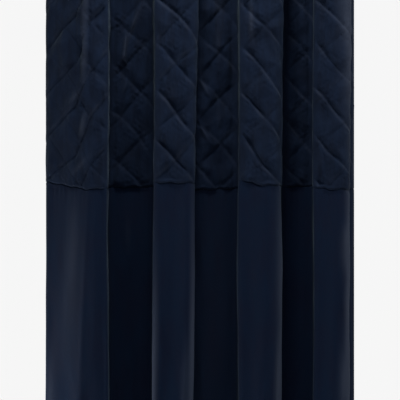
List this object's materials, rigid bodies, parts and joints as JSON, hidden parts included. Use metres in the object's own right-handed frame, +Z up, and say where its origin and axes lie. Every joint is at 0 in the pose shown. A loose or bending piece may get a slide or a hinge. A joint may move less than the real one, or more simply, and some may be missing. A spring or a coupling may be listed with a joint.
{
  "type": "pair of velvet curtains",
  "caption": "Pair of dark navy velvet curtains, drawn closed and hanging in deep uneven folds, with a diamond-quilted band above plain velvet.",
  "frame": {"origin": "middle of the pair's top edge, where the curtains hang from", "axes": "+Z up, +X to the right as seen from the room, -Y towards the room"},
  "size_m": [0.7491, 0.1293, 1.37],
  "materials": {
    "quilted_velvet": "dark navy velvet pile over thin wadding, stitched in diamonds",
    "plain_velvet": "dark navy velvet pile"
  },
  "bodies": {
    "root": {"left_quilted_band": "quilted_velvet", "left_plain_panel": "plain_velvet", "right_quilted_band": "quilted_velvet", "right_plain_panel": "plain_velvet"}
  },
  "joints": []
}
